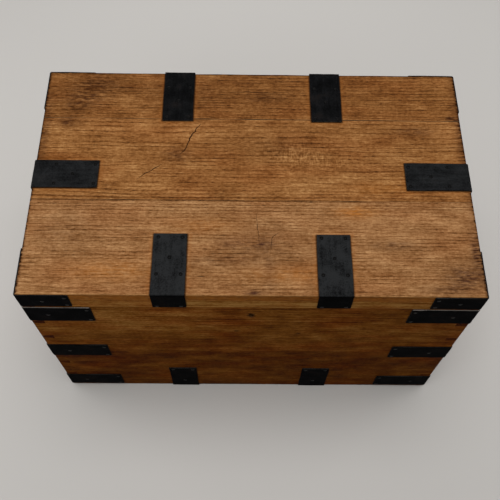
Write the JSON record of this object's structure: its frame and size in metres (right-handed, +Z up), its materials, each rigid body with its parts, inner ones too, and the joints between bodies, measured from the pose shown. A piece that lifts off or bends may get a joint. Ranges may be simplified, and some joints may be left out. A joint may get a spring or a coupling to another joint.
{
  "type": "storage chest",
  "caption": "Rectangular oak storage chest with a hinged lid, bound with flat black iron straps and corner irons, with drop handles and a lock.",
  "frame": {"origin": "centre of the overall box in X and Y, on the surface that the chest stands on", "axes": "+Z up, -Y towards the front with the keyhole, +X to the right as seen from the front"},
  "size_m": [0.8472, 0.4966, 0.5043],
  "materials": {
    "oak": "old wax over stained oak, satin",
    "black_iron": "matte black forged iron",
    "nail_iron": "hammered black iron, worn on the crowns",
    "lock_iron": "plain dark iron"
  },
  "bodies": {
    "chest": {"front_board_upper": "oak", "front_board_lower": "oak", "back_board_upper": "oak", "back_board_lower": "oak", "left_end_board_upper": "oak", "left_end_board_lower": "oak", "right_end_board_upper": "oak", "right_end_board_lower": "oak", "bottom_board_front": "oak", "bottom_board_back": "oak", "hinge_box_leaf_left": "black_iron", "hinge_box_leaf_right": "black_iron", "hinge_pin_left": "black_iron", "hinge_pin_right": "black_iron", "corner_top_front_left": "black_iron", "corner_top_front_right": "black_iron", "corner_top_back_left": "black_iron", "corner_top_back_right": "black_iron", "corner_middle_front_left": "black_iron", "corner_middle_front_right": "black_iron", "corner_middle_back_left": "black_iron", "corner_middle_back_right": "black_iron", "corner_low_front_left": "black_iron", "corner_low_front_right": "black_iron", "corner_low_back_left": "black_iron", "corner_low_back_right": "black_iron", "bottom_strap_front_left": "black_iron", "bottom_strap_front_right": "black_iron", "bottom_strap_back_left": "black_iron", "bottom_strap_back_right": "black_iron", "bottom_strap_end_left": "black_iron", "bottom_strap_end_right": "black_iron", "handle_plate_left": "black_iron", "handle_plate_right": "black_iron", "lock_case": "lock_iron", "lock_plate": "lock_iron", "box_nails": "nail_iron"},
    "lid": {"lid_board_front": "oak", "lid_board_middle": "oak", "lid_board_back": "oak", "lid_rail_front": "oak", "lid_rail_back": "oak", "lid_rail_left": "oak", "lid_rail_right": "oak", "lid_strap_front_left": "black_iron", "lid_strap_front_right": "black_iron", "lid_strap_end_left": "black_iron", "lid_strap_end_right": "black_iron", "lid_corner_front_left": "black_iron", "lid_corner_front_right": "black_iron", "lid_corner_back_left": "black_iron", "lid_corner_back_right": "black_iron", "hinge_lid_leaf_left": "black_iron", "hinge_lid_leaf_right": "black_iron", "lock_link_plate": "lock_iron", "lid_nails": "nail_iron"},
    "left_handle": {"handle_bail_left": "black_iron"},
    "right_handle": {"handle_bail_right": "black_iron"},
    "bolt": {"lock_bolt": "lock_iron"}
  },
  "joints": [
    {"name": "lid_hinge", "type": "hinge", "parent": "chest", "child": "lid", "pos_m": [0, 0.24285, 0.4507], "axis": [-1, 0, 0], "range_deg": [0, 100]},
    {"name": "left_handle_swing", "type": "hinge", "parent": "chest", "child": "left_handle", "pos_m": [-0.416, -0.00395, 0.322], "axis": [0, 1, 0], "range_deg": [0, 90]},
    {"name": "right_handle_swing", "type": "hinge", "parent": "chest", "child": "right_handle", "pos_m": [0.416, -0.00395, 0.322], "axis": [0, -1, 0], "range_deg": [0, 90]},
    {"name": "lock_bolt_slide", "type": "slide", "parent": "chest", "child": "bolt", "axis": [1, 0, 0], "range_m": [0, 0.007]}
  ]
}
